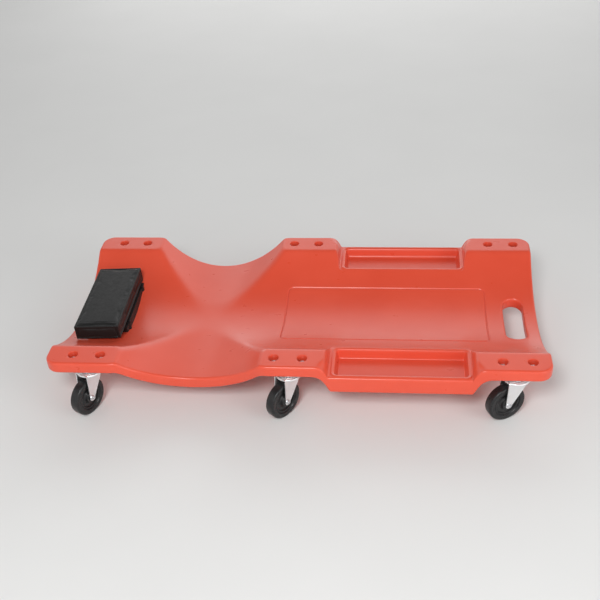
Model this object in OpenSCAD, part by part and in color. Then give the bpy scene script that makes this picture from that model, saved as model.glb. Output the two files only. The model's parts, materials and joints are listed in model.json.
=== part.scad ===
// Mechanics creeper: a low garage trolley that a person lies on to work under a car.
// A hollow moulded plastic deck with a headrest and two tool trays rolls on six swivel casters.
// Millimetres. +X runs from the head end to the foot end, +Z is up, and the floor is z = 0.
// Right and left are those of the person lying on the deck: right is -Y.

/* [Deck] */
// Length of the deck, head end to foot end
deck_l = 1008; // [1000:2:1020]
// Width of the deck over the caster pads
deck_w = 488; // [482:1:492]
// Height of the caster pads above the floor
pad_z = 132; // [130:1:136]
// Thickness of the deck, top skin to bottom skin
deck_t = 25; // [23:0.5:27]
// Wall thickness of the hollow moulding
wall_t = 3; // [2.5:0.25:3.5]
// Plan radius of the deck's corners
corner_r = 28; // [20:1:32]

/* [Body trough] */
// Height of the lowest line of the long trough
trough_z = 71; // [66:1:76]
// Half the width of the long trough, where it meets the caster pads
trough_half = 185; // [182:0.5:188]

/* [Arm cut-outs] */
// Place of the cut-outs along the deck
waist_x = -210; // [-216:1:-204]
// Height of the lowest line of the cross trough between the arm cut-outs
waist_z = 72; // [70:1:78]
// Half the length of the cross trough
waist_half = 145; // [140:1:148]
// How far each arm cut-out goes into the deck's edge
cut_depth = 32; // [26:1:34]
// Half the length of each arm cut-out along the deck's edge
cut_half = 150; // [146:1:154]

/* [Tool trays] */
// Head end of the tray openings
tray_x0 = 82; // [80:1:86]
// Foot end of the tray openings
tray_x1 = 345; // [340:1:347]
// Inner side of the tray openings
tray_y0 = 152; // [150:1:156]
// Outer side of the tray openings
tray_y1 = 233; // [230:1:234]
// Height of the tray rims
rim_z = 107; // [105:1:109]
// Height of the tray floors
tray_floor_z = 86.5; // [84:0.5:90]
// Height of the bottom of the tray blocks
tray_base_z = 70.5; // [69:0.5:73]
// Plan radius of the tray corners
tray_r = 8; // [6:1:10]

/* [Seat panel] */
// Head end of the grooved panel
panel_x0 = -42; // [-46:1:-30]
// Foot end of the grooved panel
panel_x1 = 396; // [385:1:400]
// Right side of the grooved panel
panel_y0 = -88; // [-95:1:-80]
// Left side of the grooved panel
panel_y1 = 98; // [85:1:102]
// Width of the groove round the panel
groove_w = 3; // [2:0.5:4]
// Depth of the groove
groove_depth = 1.25; // [1:0.25:1.5]
// Plan radius of the panel's corners
panel_r = 12; // [8:1:16]

/* [Handle slot] */
// Place of the slot along the deck
slot_x = 455; // [450:1:456]
// Width of the slot along the deck
slot_w = 43; // [40:1:48]
// Length of the slot across the deck
slot_l = 143; // [140:1:160]

/* [Headrest] */
// Place of the cushion along the deck
rest_x = -433; // [-434:1:-431]
// Height of the middle of the cushion's top
rest_top_z = 126.7; // [126.7:0.1:128]
// Length of the cushion along the deck
cushion_l = 97; // [90:1:98]
// Width of the cushion across the deck
cushion_w = 226; // [216:1:226]
// Thickness of the cushion
cushion_t = 32.6; // [30:0.1:32.6]
// Upward tilt of the cushion's foot side in degrees
rest_tilt = 1.7; // [1:0.1:2]
// Turn of the cushion about the vertical in degrees
rest_turn = 1; // [0:0.1:1.5]

/* [Caster mounting] */
// Distance of the caster bolts from the deck's centre line
caster_y = 214; // [213:0.5:215]
// Distance between the two bolts of a caster
bolt_gap = 57; // [56:0.5:58]
// Diameter of the bolt wells in the pads
well_d = 20.5; // [20:0.5:21.5]
// Depth of the bolt wells
well_depth = 17; // [15:0.5:18]
// Diameter of the caster bolts
bolt_d = 6.35; // [6:0.05:6.5]

/* [Caster] */
// Diameter of the wheels
wheel_d = 80; // [78:1:80]
// Width of the tread
tread_w = 20; // [18:1:20]
// Trail: how far the axle lies behind the swivel axis
trail = 22; // [20:0.5:23]
// Diameter of the fork's crown
crown_d = 54; // [50:1:54]
// Thickness of the pressed steel fork and plate
steel_t = 2.5; // [2.25:0.25:2.75]
// Number of bearing balls in a swivel
ball_count = 18; // [12:1:18]

/* [Hidden] */
// Each caster's station: name, place along the deck, and how far its right wheel is turned
STATIONS = [["head", -421, 64], ["mid", -10, 52], ["foot", 438, 27]];
SIDES = [["right", -1], ["left", 1]];
// Pieces of a caster that stay with the deck, and those that turn about the swivel axis
STILL_PIECES = ["plate", "kingpin"];
TURNING_PIECES = ["bearing_balls", "fork", "axle_rivet", "bushing", "wheel"];

$fn = 64;
// Facets of the large shallow arcs, fine enough for their size
fine = 240;
// Reach of the cutting blocks beyond the object
beyond = 700;
// Overlap that makes a cut clear of a face
clear = 1;

deck_z = pad_z - deck_t;

// Radius of an arc from its half chord and its depth
function arc_radius(half, depth) = (half * half + depth * depth) / (2 * depth);
trough_r = arc_radius(trough_half, pad_z - trough_z);
waist_r = arc_radius(waist_half, pad_z - waist_z);
cut_r = arc_radius(cut_half, cut_depth);

// Rounded steps between the pads and the tray blocks: [x, z] points from the step's foot line upwards
step_points = 12;
function rise(t) = 1 - pow(1 - t, 3);
function step_line(x, low, run, high) = [
    for (i = [0:step_points]) [x + run * i / step_points, low + (high - low) * rise(i / step_points)]
];
function reversed(list) = [for (i = [len(list) - 1:-1:0]) list[i]];
// Foot lines of the rims' steps, outside the tray opening at its two ends, and their run
rim_foot_head = 12;
rim_foot_foot = 7;
rim_run = 24;
// Foot lines of the underside's steps, outside the tray opening at its two ends, and their run
base_foot_head = 8.5;
base_foot_foot = 9.5;
base_run = 42;
// Depth of the solid moulding between a tray's wall and the deck's edge
pinch = 6;

// Fasteners, after the sizes of quarter-inch hardware
bolt_hole_r = bolt_d / 2 + 0.3;
bolt_head_w = 11.1;
bolt_head_h = 4;
nut_h = 5.6;
washer_r = 7.9;
washer_t = 1.5;
bolt_proud = 1.2;
// Radial gap of a running fit, and of a piece that is clamped in place
fit_gap = 0.05;
hole_gap = 0.1;

// Headrest pieces
cushion_r = 7;
board_t = 6;
board_margin = 6;
board_gap = 0.2;
// Base: its two ends, further out on the left, and its foot side with a lug for each screw
base_right = -68;
base_left = 104;
base_proud = 2.5;
base_lug_r = 5;
base_head_inset = 9;
base_ledge_drop = 4.3;
base_wall = 4;
base_rib = 5;
base_boss_r = 6;
screw_r = 2.4;
screw_head_r = 3.8;
screw_head_h = 2.2;
screw_l = 24;
// Screws through the lugs, from the cushion's middle
screw_x = 50.5;
SCREW_Y = [-50, 86];
// Height at which the screws' heads rest on the lugs
screw_seat_z = rest_top_z - cushion_t - base_ledge_drop + (screw_x + screw_head_r) * tan(rest_tilt) + fit_gap;
screw_boss_r = 7;
pad_screw_r = 1.9;
pad_screw_head_r = 3.8;
pad_screw_head_h = 2.2;
pad_screw_l = 9;
pad_screw_x = 25;
pad_screw_y = 60;

// Caster heights and radii
plate_l = 82;
plate_w = 42;
plate_r = 8;
axle_z = wheel_d / 2;
boss_r = 20;
boss_h = 4.3;
ball_r = 2.5;
ball_ring_r = 15.5;
ball_drop = 1.3;
boss_z = deck_z - steel_t - boss_h;
ball_z = boss_z - ball_r + ball_drop;
crown_top_z = ball_z - ball_r + ball_drop;
crown_z = crown_top_z - steel_t;
crown_rim_t = 2;
crown_skirt = 3;
kingpin_r = 5;
kingpin_head_r = 8.7;
kingpin_head_h = 2.8;
kingpin_foot_r = 8;
kingpin_foot_h = 2.6;
fork_gap = 12.5;
hub_gap = 0.3;
hub_half = fork_gap - hub_gap;
fork_half = fork_gap + steel_t;
// Fork legs: front and back edges at the crown, and the front corner where the taper starts
leg_front = 12;
leg_back = 26;
leg_corner = 11;
leg_corner_z = 78;
leg_tip_r = 7;
axle_r = 3.5;
axle_head_r = 5;
axle_head_h = 2;
axle_foot_r = 4.6;
axle_foot_h = 1.6;
axle_dimple_r = 2;
bushing_r = 6;

// Wheel section: tread, side step, web and hub
tread_round = 3.5;
tread_inner_r = 29;
step_inner_r = 24;
step_half = 8;
web_half = 4.5;
hub_r = 12;

// Filled rectangle with round corners, centred
module round_rect(l, w, r) {
    square([l - 2 * r, w], center = true);
    square([l, w - 2 * r], center = true);
    for (sx = [-1, 1])
        for (sy = [-1, 1])
            translate([sx * (l / 2 - r), sy * (w / 2 - r)])
                circle(r = r);
}

// Everything under a level sheet at top_z that dips along X in a round trough
module under_trough(top_z, r, lift) {
    difference() {
        translate([-beyond, -beyond, -beyond])
            cube([2 * beyond, 2 * beyond, beyond + top_z]);
        translate([0, 0, trough_z + trough_r + lift])
            rotate([0, 90, 0])
                cylinder(r = r, h = 3 * beyond, center = true, $fn = fine);
    }
}

// Everything under a level sheet at top_z that dips across Y at the arm cut-outs
module under_waist(top_z, r, lift) {
    difference() {
        translate([-beyond, -beyond, -beyond])
            cube([2 * beyond, 2 * beyond, beyond + top_z]);
        translate([waist_x, 0, waist_z + waist_r + lift])
            rotate([90, 0, 0])
                cylinder(r = r, h = 3 * beyond, center = true, $fn = fine);
    }
}

// Plan of the deck, drawn in by inset
module plan(inset) {
    difference() {
        linear_extrude(2 * pad_z)
            round_rect(deck_l - 2 * inset, deck_w - 2 * inset, corner_r - inset);
        for (side = [-1, 1])
            translate([waist_x, side * (deck_w / 2 - cut_depth + cut_r), -clear])
                cylinder(r = cut_r + inset, h = 2 * pad_z + 2 * clear, $fn = fine);
    }
}

// Body under the tray rims and over the tray blocks' underside, as an [x, z] outline through Y
module across(points) {
    rotate([90, 0, 0])
        linear_extrude(2 * beyond, center = true)
            polygon(points);
}

// Space over the tray rims
module over_rims(inset) {
    head_x = tray_x0 - rim_foot_head - inset;
    foot_x = tray_x1 + rim_foot_foot + inset;
    across(concat(
        [[head_x - rim_run, 2 * pad_z]],
        reversed(step_line(head_x, rim_z - inset, -rim_run, pad_z)),
        step_line(foot_x, rim_z - inset, rim_run, pad_z),
        [[foot_x + rim_run, 2 * pad_z]]
    ));
}

// Blocks that hold the trays, from their underside to the rims
module tray_blocks(inset) {
    across(concat(
        reversed(step_line(tray_x0 - base_foot_head + inset, tray_base_z + inset, -base_run, rim_z)),
        step_line(tray_x1 + base_foot_foot - inset, tray_base_z + inset, base_run, rim_z)
    ));
}

// The deck without its holes, drawn in by inset on every face
module deck_form(inset) {
    difference() {
        intersection() {
            plan(inset);
            under_trough(pad_z - inset, trough_r + inset, 0);
            union() {
                difference() {
                    under_waist(pad_z - inset, waist_r + inset, 0);
                    intersection() {
                        under_trough(deck_z + inset, trough_r - inset, -deck_t);
                        under_waist(deck_z + inset, waist_r - inset, -deck_t);
                    }
                }
                tray_blocks(inset);
            }
        }
        over_rims(inset);
    }
}

// Groove round the seat panel, which follows the trough
module seat_groove() {
    l = panel_x1 - panel_x0;
    w = panel_y1 - panel_y0;
    difference() {
        translate([(panel_x0 + panel_x1) / 2, (panel_y0 + panel_y1) / 2, 0])
            linear_extrude(2 * pad_z)
                difference() {
                    round_rect(l + groove_w, w + groove_w, panel_r + groove_w / 2);
                    round_rect(l - groove_w, w - groove_w, panel_r - groove_w / 2);
                }
        under_trough(pad_z, trough_r, -groove_depth);
    }
}

// Tool tray pockets, widened by margin
module tray_pockets(margin) {
    for (side = [-1, 1])
        translate([(tray_x0 + tray_x1) / 2, side * (tray_y0 + tray_y1) / 2, tray_floor_z - margin])
            linear_extrude(pad_z)
                round_rect(tray_x1 - tray_x0 + 2 * margin, tray_y1 - tray_y0 + 2 * margin, tray_r + margin);
}

// Handle slot through the foot end, widened by margin
module handle_slot(margin) {
    translate([slot_x, 0, -clear])
        linear_extrude(2 * pad_z)
            round_rect(slot_w + 2 * margin, slot_l + 2 * margin, slot_w / 2 + margin - clear / 2);
}

// Puts its children at each of the twelve caster bolts
module at_bolts() {
    for (s = STATIONS)
        for (d = SIDES)
            for (end = [-1, 1])
                translate([s[1] + end * bolt_gap / 2, d[1] * caster_y, 0])
                    children();
}

// Puts its children at each headrest screw
module at_headrest_screws() {
    for (y = SCREW_Y)
        translate([rest_x, 0, 0])
            rotate([0, 0, rest_turn])
                translate([screw_x, y, 0])
                    children();
}

// Hollow blow-moulded deck: outer form less its cavity, which leaves a wall round every hole
module deck() {
    color("#D9604F")
        difference() {
            deck_form(0);
            difference() {
                deck_form(wall_t);
                tray_pockets(pinch);
                handle_slot(wall_t);
                at_bolts()
                    cylinder(r = well_d / 2 + wall_t, h = 2 * pad_z);
                at_headrest_screws()
                    cylinder(r = screw_boss_r, h = 2 * pad_z);
            }
            seat_groove();
            tray_pockets(0);
            handle_slot(0);
            at_bolts()
                translate([0, 0, pad_z - well_depth])
                    cylinder(d = well_d, h = pad_z);
            at_bolts()
                cylinder(r = bolt_hole_r, h = 2 * pad_z);
            at_headrest_screws()
                translate([0, 0, screw_seat_z - screw_l - clear])
                    cylinder(r = screw_r + hole_gap, h = pad_z);
        }
}

// Frame of the headrest, with z = 0 at the top of the cushion
module in_headrest() {
    translate([rest_x, 0, rest_top_z])
        rotate([0, -rest_tilt, rest_turn])
            children();
}

// Puts its children at each screw between the headrest's base and its board
module at_pad_screws() {
    for (sx = [-1, 1])
        for (sy = [-1, 1])
            translate([sx * pad_screw_x, sy * pad_screw_y, 0])
                children();
}

// Vinyl-covered foam cushion, wrapped round a board let into its underside
module headrest_cushion() {
    color("#2E2E30")
        in_headrest()
            difference() {
                translate([0, 0, -cushion_t])
                    linear_extrude(cushion_t)
                        round_rect(cushion_l, cushion_w, cushion_r);
                translate([0, 0, -cushion_t - clear])
                    linear_extrude(board_t + clear)
                        square([cushion_l - 2 * board_margin, cushion_w - 2 * board_margin], center = true);
            }
}

// Plywood board inside the cushion, which takes the screws
module headrest_board() {
    color("#B08A58")
        in_headrest()
            difference() {
                translate([0, 0, -cushion_t])
                    linear_extrude(board_t - board_gap)
                        square([
                            cushion_l - 2 * board_margin - 2 * board_gap,
                            cushion_w - 2 * board_margin - 2 * board_gap
                        ], center = true);
                at_pad_screws()
                    translate([0, 0, -cushion_t - clear])
                        cylinder(r = pad_screw_r + hole_gap, h = board_t);
            }
}

// Moulded base between the cushion and the trough, open underneath, with two screw lugs at its foot side
module headrest_base() {
    base_l = cushion_l - base_head_inset + base_proud;
    base_w = base_left - base_right;
    base_x = base_head_inset - cushion_l / 2;
    lug_x = screw_x - cushion_t * tan(rest_tilt);
    hollow_l = cushion_l - base_head_inset - 4 * base_wall;
    hollow_z = -cushion_t - base_wall;
    color("#1E1E20")
        difference() {
            in_headrest()
                difference() {
                    union() {
                        translate([base_x, base_right, -cushion_t - pad_z])
                            cube([base_l, base_w, pad_z]);
                        for (y = SCREW_Y)
                            translate([lug_x, y, -cushion_t - pad_z])
                                cylinder(r = base_lug_r, h = pad_z);
                    }
                    translate([lug_x - base_lug_r, -pad_z, -cushion_t - base_ledge_drop])
                        cube([pad_z, 2 * pad_z, pad_z]);
                    difference() {
                        translate([base_x + base_wall, base_right + base_wall, hollow_z - pad_z])
                            cube([hollow_l, base_w - 2 * base_wall, pad_z]);
                        translate([0, 0, -pad_z])
                            cube([2 * pad_z, base_rib, 2 * pad_z], center = true);
                        at_pad_screws()
                            translate([0, 0, -cushion_t - 2 * base_wall])
                                cylinder(r = base_boss_r, h = pad_z);
                    }
                    at_pad_screws()
                        translate([0, 0, -pad_z])
                            cylinder(r = pad_screw_r + hole_gap, h = pad_z);
                }
            under_trough(pad_z, trough_r, 0);
            at_headrest_screws()
                cylinder(r = screw_r + hole_gap, h = pad_z);
        }
}

// Pan-head screw hanging down from z = 0, where its head rests
module pan_screw(shank_r, l, head_r, head_h) {
    translate([0, 0, -l])
        cylinder(r = shank_r, h = l);
    difference() {
        cylinder(r = head_r, h = head_h);
        translate([0, 0, head_h / 2])
            for (turn = [0, 90])
                rotate([0, 0, turn])
                    translate([-head_r / 2, -head_h / 8, 0])
                        cube([head_r, head_h / 4, head_h]);
    }
}

// Two screws that hold the headrest's base to the deck, with their heads on its lugs
module headrest_screws() {
    color("#3A3A3C")
        at_headrest_screws()
            translate([0, 0, screw_seat_z])
                pan_screw(screw_r, screw_l, screw_head_r, screw_head_h);
}

// Four screws up through the headrest's base into its board
module pad_screws() {
    color("#B9BCC0")
        in_headrest()
            at_pad_screws()
                translate([0, 0, -cushion_t - 2 * base_wall])
                    rotate([180, 0, 0])
                        pan_screw(pad_screw_r, pad_screw_l, pad_screw_head_r, pad_screw_head_h);
}

// Hexagonal prism standing on z = 0, given across its flats
module hex(w, h) {
    cylinder(d = w / cos(30), h = h, $fn = 6);
}

// Caster bolts: heads under the plates, shanks up through the deck
module caster_bolts() {
    bolt_top = pad_z - well_depth + washer_t + nut_h + bolt_proud;
    plate_low = deck_z - steel_t;
    color("#C4C7CB")
        at_bolts() {
            translate([0, 0, plate_low - bolt_head_h])
                hex(bolt_head_w, bolt_head_h);
            translate([0, 0, plate_low])
                cylinder(d = bolt_d, h = bolt_top - plate_low);
        }
}

// Washers on the floors of the bolt wells
module caster_washers() {
    color("#B5B8BD")
        at_bolts()
            translate([0, 0, pad_z - well_depth])
                difference() {
                    cylinder(r = washer_r, h = washer_t);
                    translate([0, 0, -clear])
                        cylinder(r = bolt_hole_r, h = washer_t + 2 * clear);
                }
}

// Nuts on the washers
module caster_nuts() {
    color("#D0D3D6")
        at_bolts()
            translate([0, 0, pad_z - well_depth + washer_t])
                difference() {
                    hex(bolt_head_w, nut_h);
                    translate([0, 0, -clear])
                        cylinder(r = bolt_d / 2 + fit_gap, h = nut_h + 2 * clear);
                }
}

// Ring of round section about the swivel axis, in which the bearing balls run
module ball_race(gap) {
    translate([0, 0, ball_z])
        rotate_extrude()
            translate([ball_ring_r, 0])
                circle(r = ball_r + gap);
}

// Bolted plate with a pressed boss, whose underside carries the upper ball race
module caster_plate() {
    color("#C8CBCF")
        difference() {
            union() {
                translate([0, 0, deck_z - steel_t])
                    linear_extrude(steel_t)
                        round_rect(plate_l, plate_w, plate_r);
                translate([0, 0, boss_z])
                    cylinder(r = boss_r, h = boss_h + steel_t / 2);
            }
            for (end = [-1, 1])
                translate([end * bolt_gap / 2, 0, 0])
                    cylinder(r = bolt_hole_r, h = pad_z);
            cylinder(r = kingpin_r + hole_gap, h = pad_z);
            translate([0, 0, deck_z - kingpin_head_h])
                cylinder(r = kingpin_head_r + hole_gap, h = pad_z);
            ball_race(fit_gap);
        }
}

// Rivet that holds the fork to the plate and lets it swivel
module kingpin() {
    color("#B3B6BA")
        union() {
            translate([0, 0, deck_z - kingpin_head_h])
                cylinder(r = kingpin_head_r, h = kingpin_head_h - hole_gap);
            translate([0, 0, crown_z - kingpin_foot_h])
                cylinder(r = kingpin_r, h = deck_z - kingpin_head_h - crown_z + kingpin_foot_h);
            translate([0, 0, crown_z - kingpin_foot_h - fit_gap])
                cylinder(r = kingpin_foot_r, h = kingpin_foot_h);
        }
}

// Ring of bearing balls between the plate and the fork's crown
module bearing_balls() {
    color("#DDE0E3")
        for (i = [0:ball_count - 1])
            rotate([0, 0, i * 360 / ball_count])
                translate([ball_ring_r, 0, ball_z])
                    sphere(r = ball_r);
}

// Outline of a fork leg, seen along the axle
module leg_outline() {
    difference() {
        union() {
            polygon([
                [-trail - leg_tip_r, axle_z],
                [-trail + leg_tip_r, axle_z],
                [leg_corner, leg_corner_z],
                [leg_front, crown_z],
                [-leg_back, crown_z]
            ]);
            translate([-trail, axle_z])
                circle(r = leg_tip_r);
        }
        translate([-trail, axle_z])
            circle(r = axle_r + hole_gap);
    }
}

// Pressed steel fork: a skirted crown with the lower ball race, and two tapering legs
module fork() {
    color("#D2D5D8")
        difference() {
            union() {
                difference() {
                    translate([0, 0, crown_z - crown_skirt])
                        cylinder(d = crown_d, h = steel_t + crown_skirt);
                    translate([0, 0, crown_z - crown_skirt - clear])
                        cylinder(d = crown_d - 2 * crown_rim_t, h = crown_skirt + clear);
                }
                translate([-leg_back, -fork_half, crown_z])
                    cube([leg_back, 2 * fork_half, steel_t]);
                for (side = [-1, 1])
                    translate([0, side * (fork_gap + steel_t / 2), 0])
                        rotate([90, 0, 0])
                            linear_extrude(steel_t, center = true)
                                leg_outline();
            }
            cylinder(r = kingpin_r + fit_gap, h = pad_z);
            ball_race(fit_gap / 2);
        }
}

// Axle rivet through both legs, with a dimpled head on one side and a peened foot on the other
module axle_rivet() {
    color("#BFC2C6")
        translate([-trail, 0, axle_z])
            rotate([90, 0, 0])
                difference() {
                    union() {
                        translate([0, 0, fork_half])
                            cylinder(r = axle_head_r, h = axle_head_h);
                        translate([0, 0, -fork_half])
                            cylinder(r = axle_r, h = 2 * fork_half);
                        translate([0, 0, -fork_half - axle_foot_h])
                            cylinder(r = axle_foot_r, h = axle_foot_h);
                    }
                    translate([0, 0, fork_half + axle_head_h / 2])
                        cylinder(r = axle_dimple_r, h = axle_head_h);
                }
}

// Sleeve clamped between the legs, on which the wheel turns
module bushing() {
    color("#9A9DA1")
        translate([-trail, 0, axle_z])
            rotate([90, 0, 0])
                difference() {
                    cylinder(r = bushing_r, h = 2 * (fork_gap - hole_gap), center = true);
                    cylinder(r = axle_r + fit_gap, h = 3 * fork_gap, center = true);
                }
}

// Half section of the wheel: radius along x, width along y
module wheel_section() {
    wheel_r = wheel_d / 2;
    bore_r = bushing_r + fit_gap;
    translate([bore_r, -hub_half])
        square([hub_r - bore_r, 2 * hub_half]);
    translate([bore_r, -web_half])
        square([tread_inner_r - bore_r + clear, 2 * web_half]);
    translate([step_inner_r, -step_half])
        square([tread_inner_r - step_inner_r + clear, 2 * step_half]);
    translate([tread_inner_r, -tread_w / 2])
        square([wheel_r - tread_inner_r - tread_round, tread_w]);
    translate([tread_inner_r, tread_round - tread_w / 2])
        square([wheel_r - tread_inner_r, tread_w - 2 * tread_round]);
    for (side = [-1, 1])
        translate([wheel_r - tread_round, side * (tread_w / 2 - tread_round)])
            circle(r = tread_round);
}

// One-piece moulded wheel
module wheel() {
    color("#2B2B2D")
        translate([-trail, 0, axle_z])
            rotate([90, 0, 0])
                rotate_extrude($fn = 96)
                    wheel_section();
}

// One piece of a caster, about its swivel axis with the wheel pointing along +X
module caster_piece(piece) {
    if (piece == "plate") caster_plate();
    if (piece == "kingpin") kingpin();
    if (piece == "bearing_balls") bearing_balls();
    if (piece == "fork") fork();
    if (piece == "axle_rivet") axle_rivet();
    if (piece == "bushing") bushing();
    if (piece == "wheel") wheel();
}

deck();
headrest_cushion();
headrest_board();
headrest_base();
headrest_screws();
pad_screws();
caster_bolts();
caster_washers();
caster_nuts();
for (s = STATIONS)
    for (d = SIDES)
        translate([s[1], d[1] * caster_y, 0]) {
            for (p = STILL_PIECES)
                caster_piece(p);
            rotate([0, 0, -d[1] * s[2]])
                for (p = TURNING_PIECES)
                    caster_piece(p);
        }
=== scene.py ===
"""Looks of the mechanics creeper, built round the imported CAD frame.

Sizes are millimetres in the row frame until a mesh is made, where MM turns them into metres.
"""
import json
import math

import bmesh
import bpy
import numpy as np
from mathutils import Matrix, Vector


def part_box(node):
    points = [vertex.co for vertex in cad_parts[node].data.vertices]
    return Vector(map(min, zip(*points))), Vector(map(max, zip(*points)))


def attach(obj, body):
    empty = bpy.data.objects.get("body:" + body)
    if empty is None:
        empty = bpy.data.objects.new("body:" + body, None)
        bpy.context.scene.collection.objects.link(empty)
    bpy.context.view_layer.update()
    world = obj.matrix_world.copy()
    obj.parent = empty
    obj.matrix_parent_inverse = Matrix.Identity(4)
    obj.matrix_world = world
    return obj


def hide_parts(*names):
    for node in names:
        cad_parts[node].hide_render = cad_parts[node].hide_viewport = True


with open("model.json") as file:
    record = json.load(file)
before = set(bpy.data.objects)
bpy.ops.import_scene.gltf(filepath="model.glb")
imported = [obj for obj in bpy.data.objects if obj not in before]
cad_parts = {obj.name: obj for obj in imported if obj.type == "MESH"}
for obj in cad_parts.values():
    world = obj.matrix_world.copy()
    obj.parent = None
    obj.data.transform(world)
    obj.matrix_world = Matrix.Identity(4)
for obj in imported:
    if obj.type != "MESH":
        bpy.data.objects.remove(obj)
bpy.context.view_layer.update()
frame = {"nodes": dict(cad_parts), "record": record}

MM = 0.001


def box_mm(node):
    """Lowest and highest corners of a CAD node, in millimetres."""
    low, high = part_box(node)
    return np.array(low) / MM, np.array(high) / MM


# ---------------------------------------------------------------- shape helpers

def smooth_min(a, b, width):
    """The lower of two heights, rounded where they cross."""
    h = np.clip(0.5 + 0.5 * (b - a) / width, 0, 1)
    return b * (1 - h) + a * h - width * h * (1 - h)


def smooth_max(a, b, width):
    """The higher of two heights, rounded where they cross."""
    return -smooth_min(-a, -b, width)


def arc_radius(half, depth):
    """Radius of an arc from its half chord and its depth."""
    return (half * half + depth * depth) / (2 * depth)


def rect_inside(x, y, half_x, half_y, corner):
    """How far a point lies inside a centred rectangle with round corners, negative outside."""
    qx = np.abs(x) - half_x + corner
    qy = np.abs(y) - half_y + corner
    outside = np.hypot(np.maximum(qx, 0), np.maximum(qy, 0))
    return corner - outside - np.minimum(np.maximum(qx, qy), 0)


def grid_lines(stops):
    """Positions of grid lines from (start, step) pairs, each stretch divided evenly up to the next."""
    lines = []
    for (start, step), (end, _) in zip(stops, stops[1:]):
        count = max(1, round((end - start) / step))
        lines += [start + (end - start) * i / count for i in range(count)]
    return np.array(lines + [stops[-1][0]])


def new_object(name, points_mm, faces, smooth=True):
    """A mesh object from points in millimetres, without loose points, with its normals outwards."""
    mesh = bpy.data.meshes.new(name)
    mesh.from_pydata((np.asarray(points_mm) * MM).tolist(), [], [list(f) for f in faces])
    work = bmesh.new()
    work.from_mesh(mesh)
    bmesh.ops.delete(work, geom=[v for v in work.verts if not v.link_faces], context="VERTS")
    bmesh.ops.recalc_face_normals(work, faces=work.faces)
    for face in work.faces:
        face.smooth = smooth
    work.to_mesh(mesh)
    work.free()
    mesh.update()
    thing = bpy.data.objects.new(name, mesh)
    bpy.context.scene.collection.objects.link(thing)
    return thing


# ---------------------------------------------------------------- deck form

_, deck_high = box_mm("deck")
PAD_Z = deck_high[2]
HALF_L, HALF_W = deck_high[0], deck_high[1]
DECK_T = 25.0
TROUGH_Z, TROUGH_HALF = 71.0, 185.0
WAIST_X, WAIST_Z, WAIST_HALF = -210.0, 72.0, 145.0
CUT_DEPTH, CUT_HALF = 32.0, 150.0
CORNER_R = 28.0
RIM_Z, TRAY_FLOOR_Z, TRAY_BASE_Z = 107.0, 86.5, 70.5
TRAY_X, TRAY_Y = (81.0, 346.0), (150.0, 233.0)
TRAY_CORNER, TRAY_SLOPE = 8.0, 4.2
# Raised bead round the tray openings: distance outside, half width and height
BEAD_OUT, BEAD_HALF, BEAD_RISE = 4.2, 3.0, 1.1
PANEL_X, PANEL_Y, PANEL_CORNER = (-42.0, 396.0), (-88.0, 98.0), 12.0
GROOVE_HALF, GROOVE_DEPTH = 1.9, 1.8
SLOT_X, SLOT_HALF_W, SLOT_HALF_L = 455.0, 21.5, 71.5
# Roundings: outer edge, slot lip, well lip, and the creases between the deck's surfaces
EDGE_R, FOOT_R, SLOT_LIP, WELL_LIP = 5.0, 4.0, 4.5, 1.4
PAD_CREASE, RIDGE, TRAY_LIP = 4.0, 3.0, 2.2
# Steps between the pads and the trays' rims: foot lines, corner in plan, run at the inner and outer sides
RIM_FEET, RIM_INNER_Y, RIM_CORNER, RIM_RUN = (69.8, 352.3), 143.0, 9.0, (12.0, 28.0)
RIM_BLEND = (212.0, 240.0)
# Steps on the underside: foot lines and run
BASE_FEET, BASE_RUN = (73.5, 354.5), 42.0
# Widths over which neighbouring surfaces run into each other
RIM_FOOT, TRAY_FOOT, BASE_FOOT, UNDER_CREASE, CUT_BLEND = 3.0, 4.0, 7.0, 9.0, 5.0
# The ridge between the troughs softens with its height, up to a limit
RIDGE_SPREAD, RIDGE_LIMIT = 0.2, 60.0
# An arc is followed no further out than this share of its radius
ARC_SHARE = 0.985

TROUGH_R = arc_radius(TROUGH_HALF, PAD_Z - TROUGH_Z)
WAIST_R = arc_radius(WAIST_HALF, PAD_Z - WAIST_Z)
CUT_R = arc_radius(CUT_HALF, CUT_DEPTH)


def arc_height(offset, radius, low):
    """Height of an upward arc at an offset from its lowest line."""
    offset = np.clip(np.abs(offset), 0, ARC_SHARE * radius)
    return low + radius - np.sqrt(radius ** 2 - offset ** 2)


def sheet_height(x, y, lift=0.0):
    """Height of the deck's skin where the body trough and the cross trough meet."""
    trough = arc_height(y, TROUGH_R, TROUGH_Z)
    waist = arc_height(x - WAIST_X, WAIST_R, WAIST_Z)
    width = RIDGE + RIDGE_SPREAD * np.clip(np.minimum(trough, waist) - TROUGH_Z, 0, RIDGE_LIMIT)
    return smooth_min(trough, waist, width) + lift


def smooth_step(value, start, end):
    """0 before start, 1 after end, and smooth between them."""
    share = np.clip((value - start) / (end - start), 0, 1)
    return share * share * (3 - 2 * share)


def rise(distance, run):
    """Share of a rounded step climbed at a distance from its foot line, below 0 before the line."""
    share = np.minimum(distance / run, 1)
    return np.where(share < 0, 3 * share, 1 - (1 - share) ** 3)


def rim_height(x, y):
    """Height of the level surface: the pads, and the tray rims between them."""
    reach = 2 * HALF_W
    middle = (RIM_FEET[0] + RIM_FEET[1]) / 2
    outside = -rect_inside(x - middle, np.abs(y) - RIM_INNER_Y - reach,
                           RIM_FEET[1] - middle, reach, RIM_CORNER)
    run = RIM_RUN[0] + (RIM_RUN[1] - RIM_RUN[0]) * smooth_step(np.abs(y), *RIM_BLEND)
    return smooth_max(RIM_Z, RIM_Z + (PAD_Z - RIM_Z) * rise(outside, run), RIM_FOOT)


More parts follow.
